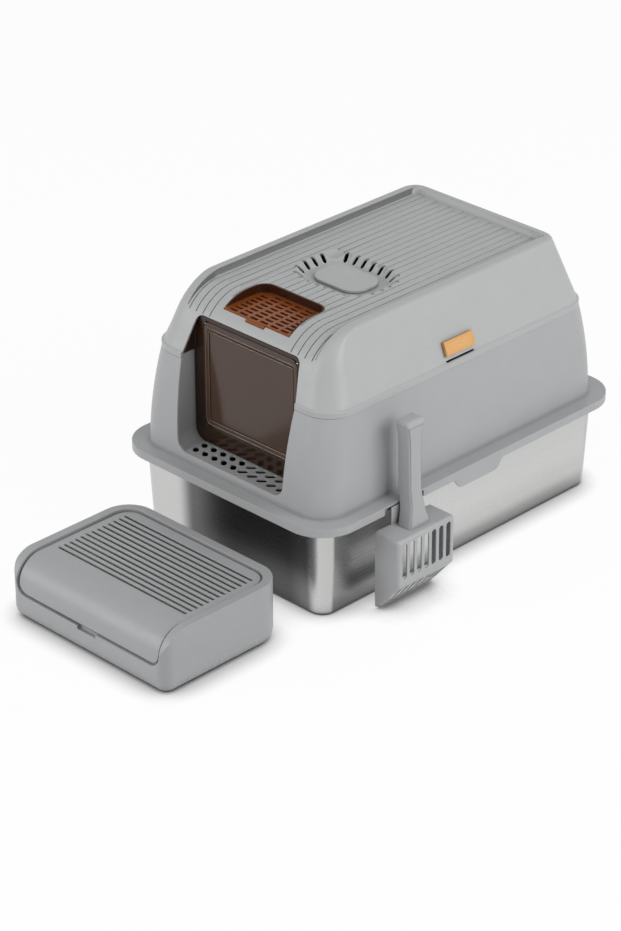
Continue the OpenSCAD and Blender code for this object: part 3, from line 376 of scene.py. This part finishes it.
guardGrey = mouldedPlastic("guardGrey", plasticLook["guardGrey"])
hoodGrey = mouldedPlastic("hoodGrey", plasticLook["hoodGrey"], grooveShade=0.55, sunk=True)
scoopGrey = mouldedPlastic("scoopGrey", plasticLook["scoopGrey"])
gripGrey = mouldedPlastic("gripGrey", [plasticLook["gripShare"] * c for c in plasticLook["scoopGrey"]],
                          roughness=0.5, grain=2.0)
stepGrey = mouldedPlastic("stepGrey", plasticLook["stepGrey"], grooveShade=0.7)
panSteel = brushedSteel("panSteel")
wireSteel = drawnWire("wireSteel")
amber = tintedClear("amber", walls=True)
amberDark = tintedClear("amberDark")
smoked = tintedClear("smoked")
smokedHighlight = tintedClear("smokedHighlight")
latchOrange = mouldedPlastic("latchOrange", plasticLook["latchOrange"], roughness=0.38, grain=0.6)
blackFoam = carbonFoam("blackFoam")
print("litter box: finishes ready")


def addPiece(name, data):
    # an object of this name and data, in the scene
    piece = bpy.data.objects.new(name, data)
    bpy.context.scene.collection.objects.link(piece)
    return piece


def smoothed(mesh, turn):
    # smooth shading, apart from edges sharper than turn degrees
    mesh.polygons.foreach_set("use_smooth", np.ones(len(mesh.polygons), bool))
    mesh.set_sharp_from_angle(angle=math.radians(turn))


basketEdges = {
    "radius": 0.0045,        # rounding of the scoop basket's outer corners
    "segments": 5,
    "near": 0.0001,
}


def roundBasket(bm):
    # the basket's outer edges, where two of its top, front and two side planes meet, and the side
    # edges of its sloping face get a wide rounding
    near = basketEdges["near"]
    points = np.array([vert.co for vert in bm.verts])
    low, high = points.min(0), points.max(0)
    top = points[np.abs(points[:, 0] - high[0]) < near, 2].max()

    def planes(vert):
        x, y, z = vert.co
        distances = {"front": x - high[0], "left": y - low[1], "right": y - high[1], "top": z - top}
        return {name for name, distance in distances.items() if abs(distance) < near}

    def wanted(edge):
        first, second = planes(edge.verts[0]), planes(edge.verts[1])
        shared = first & second
        slope = shared & {"left", "right"} and "front" in first ^ second and "top" not in first | second
        return len(edge.link_faces) == 2 and (len(shared) == 2 or bool(slope))

    chosen = [edge for edge in bm.edges if wanted(edge)]
    bmesh.ops.bevel(bm, geom=chosen, offset=basketEdges["radius"], segments=basketEdges["segments"],
                    profile=0.5, affect="EDGES", clamp_overlap=True)


ribbedTop = {
    "level": 0.3774,         # height of the hood's sunk top
    "near": 0.00002,
    "halfWidth": 0.1195,
    "above": 0.36, "behind": -0.13,    # the vent dish lies above and behind these
}


def onRibbedTop(vert):
    x, y, z = vert.co
    look = ribbedTop
    inDish = abs(x) < look["halfWidth"] and z > look["above"] and y > look["behind"]
    return inDish or abs(z - look["level"]) < look["near"]


softening = {
    "merge": 0.000002,       # points nearer than this are one point
    "flat": 0.4,             # triangles within this many degrees of each other are one face
    "turn": 28,              # edges sharper than this many degrees are rounded
    "segments": 2,
}


def softened(node, name, body, slotName, material, radius):
    # merged copy of a solid: flat triangles joined and every sharp edge rounded; the hood's ribbed
    # top keeps its triangles and its crisp edges, since it holds too many slots and grooves to be
    # one face, and the hood's large sides shade flat up to their rounded corners
    isHood = node == "hood"
    turn = softening["turn"]
    bm = bmesh.new()
    bm.from_mesh(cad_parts[node].data)
    bmesh.ops.remove_doubles(bm, verts=bm.verts, dist=softening["merge"])
    kept = {vert for vert in bm.verts if isHood and onRibbedTop(vert)}
    bmesh.ops.dissolve_limit(bm, angle_limit=math.radians(softening["flat"]),
                             verts=[vert for vert in bm.verts if vert not in kept],
                             edges=[line for line in bm.edges if not kept.intersection(line.verts)])
    if node == "scoop_basket":
        roundBasket(bm)
    weight = bm.edges.layers.float.new("bevel_weight_edge")
    for line in bm.edges:
        if len(line.link_faces) == 2 and line.calc_face_angle() > math.radians(turn):
            crisp = isHood and any(onRibbedTop(vert) for vert in line.verts)
            line[weight] = 0.0 if crisp else 1.0
    mesh = bpy.data.meshes.new(name)
    bm.to_mesh(mesh)
    bm.free()
    smoothed(mesh, turn)
    mesh.materials.append(material)
    piece = addPiece(name, mesh)
    bevel = piece.modifiers.new("edges", "BEVEL")
    bevel.width = radius
    bevel.segments = softening["segments"]
    bevel.limit_method = "WEIGHT"
    bevel.use_clamp_overlap = False
    bevel.harden_normals = True
    bevel.miter_outer = "MITER_ARC"
    if isHood:
        weighted = piece.modifiers.new("flat sides", "WEIGHTED_NORMAL")
        weighted.keep_sharp = True
    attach(piece, body)
    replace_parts(piece, node)


softPieces = [
    ("lower_guard", "guard", "guard", "grey_plastic", guardGrey, 0.0004),
    ("hood", "hoodShell", "hood", "light_plastic", hoodGrey, 0.0003),
    ("door_frame", "doorFrame", "hood", "amber_plastic", amberDark, 0.0005),
    ("flap_rod", "flapRod", "hood", "steel_wire", wireSteel, 0.0002),
    ("door_flap", "doorFlap", "flap", "smoked_plastic", smoked, 0.0005),
    ("skylight_tray", "skylightTray", "skylight", "amber_plastic", amber, 0.0002),
    ("vent_cap", "ventCap", "vent", "light_plastic", hoodGrey, 0.0009),
    ("filter_cup", "filterCup", "vent", "grey_plastic", guardGrey, 0.0003),
    ("carbon_filter", "carbonFilter", "vent", "carbon_foam", blackFoam, 0.0006),
    ("latch_left", "latchLeft", "latch_l", "orange_plastic", latchOrange, 0.0008),
    ("latch_right", "latchRight", "latch_r", "orange_plastic", latchOrange, 0.0008),
    ("latch_pin_left", "latchPinLeft", "hood", "steel_wire", wireSteel, 0.0002),
    ("latch_pin_right", "latchPinRight", "hood", "steel_wire", wireSteel, 0.0002),
    ("scoop_basket", "scoopBasket", "scoop", "grey_plastic", scoopGrey, 0.0011),
    ("scoop_handle", "scoopHandle", "scoop", "grey_plastic", scoopGrey, 0.0006),
    ("scoop_grip", "scoopGrip", "scoop", "grey_plastic", gripGrey, 0.0003),
    ("step_tray", "stepTray", "step", "grey_plastic", stepGrey, 0.0009),
    ("step_cover", "stepCover", "cover", "grey_plastic", stepGrey, 0.0007),
]
for softPiece in softPieces:
    softened(*softPiece)
print("litter box: softened pieces ready")


def roundedPath(cornerSteps, sideSteps):
    # a walk round a round-cornered rectangle, anticlockwise: for each step, the signs of the corner
    # centre it belongs to (they run from one corner's to the next along a side) and the direction
    # from that centre to the outline
    signs = np.array([(1, 1), (-1, 1), (-1, -1), (1, -1)], float)
    quarter = math.pi / 2
    turn = np.linspace(0, quarter, cornerSteps + 1)
    share = np.linspace(0, 1, sideSteps + 1)[1:-1, None]
    centres, angles = [], []
    for corner in range(4):
        here, ahead = signs[corner], signs[(corner + 1) % 4]
        centres += [np.repeat(here[None], cornerSteps + 1, 0), here + share * (ahead - here)]
        angles += [turn + corner * quarter, np.full(len(share), (corner + 1) * quarter)]
    centres, angles = np.concatenate(centres), np.concatenate(angles)
    return centres, np.stack([np.cos(angles), np.sin(angles)], 1)


def outlines(path, halfWidth, halfLength, radius):
    # points of one outline for each entry of halfWidth, halfLength and radius (all arrays):
    # corner centre plus radius times direction
    centres, directions = path
    inner = np.stack([halfWidth - radius, halfLength - radius], 1)
    return centres[None] * inner[:, None] + directions[None] * radius[:, None, None]


def surface(name, grid, material, body, aroundRows=False, flip=False, turn=40):
    # mesh over a grid of points: columns always close on themselves, rows do if aroundRows is set;
    # otherwise the first and last row are closed by flat caps
    rows, columns = grid.shape[:2]
    index = np.arange(rows * columns).reshape(rows, columns)
    low = index if aroundRows else index[:-1]
    high = np.roll(index, -1, 0) if aroundRows else index[1:]
    faces = np.stack([low, np.roll(low, -1, 1), np.roll(high, -1, 1), high], -1).reshape(-1, 4).tolist()
    if not aroundRows:
        faces += [index[0, ::-1].tolist(), index[-1].tolist()]
    if flip:
        faces = [face[::-1] for face in faces]
    mesh = bpy.data.meshes.new(name)
    mesh.from_pydata(grid.reshape(-1, 3).tolist(), [], faces)
    smoothed(mesh, turn)
    mesh.materials.append(material)
    piece = addPiece(name, mesh)
    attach(piece, body)
    return piece


steelPan = {
    "halfWidth": 0.175, "halfLength": 0.275, "corner": 0.023,
    "height": 0.141, "lean": 0.0053,        # the walls lean out by this from floor to rim
    "footRadius": 0.007, "sheet": 0.0008,
    "beadRadius": 0.0028, "beadOut": 0.0184, "beadCorner": 0.0498,
    "neckRadius": 0.003,
    "cornerSteps": 14, "sideSteps": 10,                            # round the pan
    "footSteps": 6, "wallSteps": 7, "bendSteps": 4, "rollSteps": 21,    # along the cut
}


def makePan():
    # one closed sheet: its cut runs from the middle of the underside out round the foot, up the
    # wall, out under the rim, round the rolled bead, back over the rim, down the wall and in over
    # the floor; the cut is carried round the pan
    look = steelPan
    sheet, foot, neck, bead = look["sheet"], look["footRadius"], look["neckRadius"], look["beadRadius"]
    beadZ = look["height"] - bead
    rimTop = beadZ + sheet / 2

    def leanIn(z):
        return look["lean"] * (1 - z / look["height"])

    def rimCorner(out):
        return look["corner"] + (look["beadCorner"] - look["corner"]) * out / look["beadOut"]

    # outside: foot, wall, bend into the rim
    turn = np.radians(np.linspace(0, 90, look["footSteps"] + 1))
    footZ = foot * (1 - np.cos(turn))
    footOut = -leanIn(footZ) - foot * (1 - np.sin(turn))
    footCorner = look["corner"] - foot * (1 - np.sin(turn))
    wallZ = np.linspace(foot, rimTop - sheet - neck, look["wallSteps"] + 1)[1:]
    wallOut = -leanIn(wallZ)
    wallCorner = np.full(len(wallZ), look["corner"])
    bend = np.radians(np.linspace(0, 90, look["bendSteps"] + 1))[1:]
    bendZ = rimTop - sheet - neck * (1 - np.sin(bend))
    bendOut = neck * (1 - np.cos(bend))
    # bead: from the rim's underside round to its top
    dip = math.asin(sheet / 2 / bead)
    roll = np.linspace(math.pi + dip, 3 * math.pi - dip, look["rollSteps"] + 1)
    beadOut = look["beadOut"] + bead * np.cos(roll)
    beadRise = beadZ + bead * np.sin(roll)
    beadCorner = look["beadCorner"] + bead * np.cos(roll)
    # inside: bend, wall and foot, one sheet thickness in
    innerBend = np.radians(np.linspace(90, 0, look["bendSteps"] + 1))
    innerBendZ = rimTop - (neck + sheet) * (1 - np.sin(innerBend))
    innerBendOut = (neck + sheet) * (1 - np.cos(innerBend)) - sheet
    innerWallZ = np.linspace(innerBendZ[-1], foot, look["wallSteps"] + 1)[1:]
    innerWallOut = -leanIn(innerWallZ) - sheet
    innerWallCorner = np.full(len(innerWallZ), look["corner"] - sheet)
    innerTurn = np.radians(np.linspace(90, 0, look["footSteps"] + 1))[1:]
    innerFootZ = sheet + (foot - sheet) * (1 - np.cos(innerTurn))
    innerFootOut = -leanIn(innerFootZ) - sheet - (foot - sheet) * (1 - np.sin(innerTurn))
    innerFootCorner = look["corner"] - sheet - (foot - sheet) * (1 - np.sin(innerTurn))
    out = np.concatenate([footOut, wallOut, bendOut, beadOut, innerBendOut, innerWallOut, innerFootOut])
    rise = np.concatenate([footZ, wallZ, bendZ, beadRise, innerBendZ, innerWallZ, innerFootZ])
    corner = np.concatenate([footCorner, wallCorner, rimCorner(bendOut), beadCorner,
                             rimCorner(innerBendOut), innerWallCorner, innerFootCorner])
    flat = outlines(roundedPath(look["cornerSteps"], look["sideSteps"]),
                    look["halfWidth"] + out, look["halfLength"] + out, corner)
    grid = np.concatenate([flat, np.broadcast_to(rise[:, None, None], (*flat.shape[:2], 1))], 2)
    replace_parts(surface("steelPan", grid, panSteel, "pan"), "steel_pan")


makePan()
print("litter box: pan ready")

flapBeads = {
    "radius": 0.0006,
    # from the flap's edge to each bead, at the sides and the foot, and at the top
    "insets": ((0.0024, 0.0078), (0.0085, 0.0128)),
    "corner": 0.01,
    "behind": 0.0003,                # the beads' middle line lies this far behind the flap's front
    "cornerSteps": 8, "sideSteps": 12, "aroundSteps": 8,
}


def makeFlapBeads():
    # two raised lines on the flap's front, in the lighter smoked plastic of a painted highlight: a
    # small circle carried round a round-cornered rectangle
    look = flapBeads
    low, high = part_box("door_flap")
    path = roundedPath(look["cornerSteps"], look["sideSteps"])
    around = np.linspace(0, 2 * math.pi, look["aroundSteps"] + 1)[:-1]
    bulge = look["radius"] * np.cos(around)
    depth = low[1] + look["behind"] + look["radius"] * np.sin(around)
    for number, (inset, topInset) in enumerate(look["insets"]):
        bottom, top = low[2] + inset, high[2] - topInset
        flat = outlines(path, high[0] - inset + bulge, (top - bottom) / 2 + bulge,
                        look["corner"] - inset + bulge)
        grid = np.stack([flat[..., 0], np.broadcast_to(depth[:, None], flat.shape[:2]),
                         flat[..., 1] + (bottom + top) / 2], 2)
        surface("flapBead%d" % (number + 1), grid, smokedHighlight, "flap",
                aroundRows=True, flip=True)


makeFlapBeads()

latchFace = {
    "halfLength": 0.0268, "halfHeight": 0.0088,
    "border": 0.0016, "borderRise": 0.0005, "borderFade": 0.0005,
    "ribPitch": 0.0034, "ribRise": 0.00045, "ribPower": 1.5,
    "ribsTo": (0.021, 0.0052),        # how far the ribs run from the middle, along and up
    "ribFade": (0.001, 0.0012),
    "out": 0.0058,                    # from the hood's wall to the latch's face
    "above": 0.00002, "below": 0.0008,    # from the latch's face to the relief's front and its back
    "wall": (0.161931, -0.007, 0.312665),    # the point of the hood's wall behind the latch's middle
    "lean": math.atan(35 / 93.4),     # the wall's, from upright
    "steps": (180, 60),
}


def makeLatchFace(side, name, body):
    # shallow relief on a latch: a raised border and upright ribs, cosine waves that fade out towards
    # their ends; the relief's back is a flat sheet sunk into the latch
    look = latchFace
    alongSteps, upSteps = look["steps"]
    along = np.linspace(-look["halfLength"], look["halfLength"], alongSteps + 1)
    up = np.linspace(-look["halfHeight"], look["halfHeight"], upSteps + 1)
    y, z = np.meshgrid(along, up)

    def fade(distance, width):
        share = np.clip(distance / width, 0, 1)
        return share ** 2 * (3 - 2 * share)

    toEdge = np.minimum(look["halfLength"] - np.abs(y), look["halfHeight"] - np.abs(z))
    border = fade(toEdge, look["borderFade"]) * (1 - fade(toEdge - look["border"], look["borderFade"]))
    window = (fade(look["ribsTo"][0] - np.abs(y), look["ribFade"][0])
              * fade(look["ribsTo"][1] - np.abs(z), look["ribFade"][1]))
    ribs = window * (0.5 + 0.5 * np.cos(2 * math.pi * y / look["ribPitch"])) ** look["ribPower"]
    top = look["out"] + look["borderRise"] * border + look["ribRise"] * ribs + look["above"]
    bottom = np.full_like(top, look["out"] - look["below"])
    # the front sheet and the back sheet share one grid, joined round their edge
    x = np.concatenate([top, bottom[:, ::-1]], 1)
    y = np.concatenate([y, y[:, ::-1]], 1)
    z = np.concatenate([z, z[:, ::-1]], 1)
    lean, (wallX, wallY, wallZ) = look["lean"], look["wall"]
    grid = np.stack([side * (wallX + x * math.cos(lean) - z * math.sin(lean)), wallY + y,
                     wallZ + x * math.sin(lean) + z * math.cos(lean)], 2)
    surface(name, grid, latchOrange, body, flip=side < 0)


makeLatchFace(-1, "latchFaceLeft", "latch_l")
makeLatchFace(1, "latchFaceRight", "latch_r")
print("litter box: new pieces ready")

studio = {
    "worldLight": 0.35,
    "top": (9, (0.6, -0.8, 3.0), 2.2),           # watts, place, size
    "left": (55, (-1.45, -3.1, 1.3), 2.0),
    "right": (60, (2.7, 0.5, 1.8), 2.0),
    "aim": (0, 0, 0.2),                          # what the lights point at
    "floorHalf": 14.0,
    "floorGrey": (0.86, 0.86, 0.86, 1),
    "floorWhite": 0.95,                          # share of the floor that shows as plain white
    "floorShade": (0.05, 0.0),                   # reach of the painted shadow round a piece, and its depth
}


def showWhite(tree, dark, target, share):
    # camera, glossy and transmitted rays see an even white; share is how much of it shows
    path = addNode(tree, "LightPath").outputs
    seen = calculate(tree, "MAXIMUM", path["Is Camera Ray"], path["Is Glossy Ray"])
    seen = calculate(tree, "MAXIMUM", seen, path["Is Transmission Ray"])
    mix = addNode(tree, "MixShader")
    tree.links.new(calculate(tree, "MULTIPLY", seen, share), mix.inputs[0])
    tree.links.new(dark, mix.inputs[1])
    tree.links.new(target, mix.inputs[2])
    return mix.outputs[0]


def makeFloor():
    half = studio["floorHalf"]
    mesh = bpy.data.meshes.new("floor")
    corners = [(-half, -half, 0), (half, -half, 0), (half, half, 0), (-half, half, 0)]
    mesh.from_pydata(corners, [], [(0, 1, 2, 3)])
    mat = bpy.data.materials.new("floorWhite")
    tree, out = emptyTree(mat, "Material")
    matt = addNode(tree, "BsdfDiffuse", Color=studio["floorGrey"])
    glow = addNode(tree, "Emission", Strength=1.0)
    white = addNode(tree, "RGB")
    white.outputs[0].default_value = (1, 1, 1, 1)
    # painted shadow: the floor's white glow darkens round a piece
    tree.links.new(paintedOcclusionShade(tree, white.outputs[0], *studio["floorShade"]), glow.inputs["Color"])
    tree.links.new(showWhite(tree, matt.outputs[0], glow.outputs[0], studio["floorWhite"]),
                   out.inputs[0])
    mesh.materials.append(mat)
    addPiece("floor", mesh)


def makeWorld():
    world = bpy.data.worlds.new("studio")
    bpy.context.scene.world = world
    tree, out = emptyTree(world, "World")
    dim = addNode(tree, "Background", Color=(1, 1, 1, 1), Strength=studio["worldLight"])
    white = addNode(tree, "Background", Color=(1, 1, 1, 1), Strength=1.0)
    tree.links.new(showWhite(tree, dim.outputs[0], white.outputs[0], 1.0), out.inputs[0])


def areaLight(name, power, place, size):
    light = bpy.data.lights.new(name, "AREA")
    light.energy = power
    light.size = size
    lamp = addPiece(name, light)
    lamp.location = place
    lamp.rotation_mode = "QUATERNION"
    lamp.rotation_quaternion = (Vector(studio["aim"]) - Vector(place)).to_track_quat("-Z", "Y")


cameraLook = {
    "azimuth": 44.9095, "elevation": 28.2772, "roll": -0.2146,    # degrees
    "distance": 4.5763,
    "shift": (-0.085935, 0.056904),    # from the line through the pan's middle, right and up
    "sensor": 36,                      # millimetres
    "focal": 3250.262 / 931,           # as a share of the picture's height
    "clipEnd": 100,
}


def makeCamera():
    look = cameraLook
    azimuth, elevation, roll = (math.radians(look[key]) for key in ("azimuth", "elevation", "roll"))
    back = Vector((math.sin(azimuth) * math.cos(elevation),
                   -math.cos(azimuth) * math.cos(elevation), math.sin(elevation)))
    right = Vector((math.cos(azimuth), math.sin(azimuth), 0))
    up = back.cross(right)
    turnedRight = right * math.cos(roll) + up * math.sin(roll)
    turnedUp = up * math.cos(roll) - right * math.sin(roll)
    place = back * look["distance"] + turnedRight * look["shift"][0] + turnedUp * look["shift"][1]
    data = bpy.data.cameras.new("camera")
    data.sensor_width = look["sensor"]
    data.lens = look["sensor"] * look["focal"]
    data.clip_end = look["clipEnd"]
    camera = addPiece("camera", data)
    camera.matrix_world = Matrix((*zip(turnedRight, turnedUp, back, place), (0, 0, 0, 1)))
    bpy.context.scene.camera = camera


makeFloor()
makeWorld()
for lampName in ("top", "left", "right"):
    areaLight(lampName, *studio[lampName])
makeCamera()
bpy.context.scene.view_settings.view_transform = "Standard"
print("litter box: studio ready")
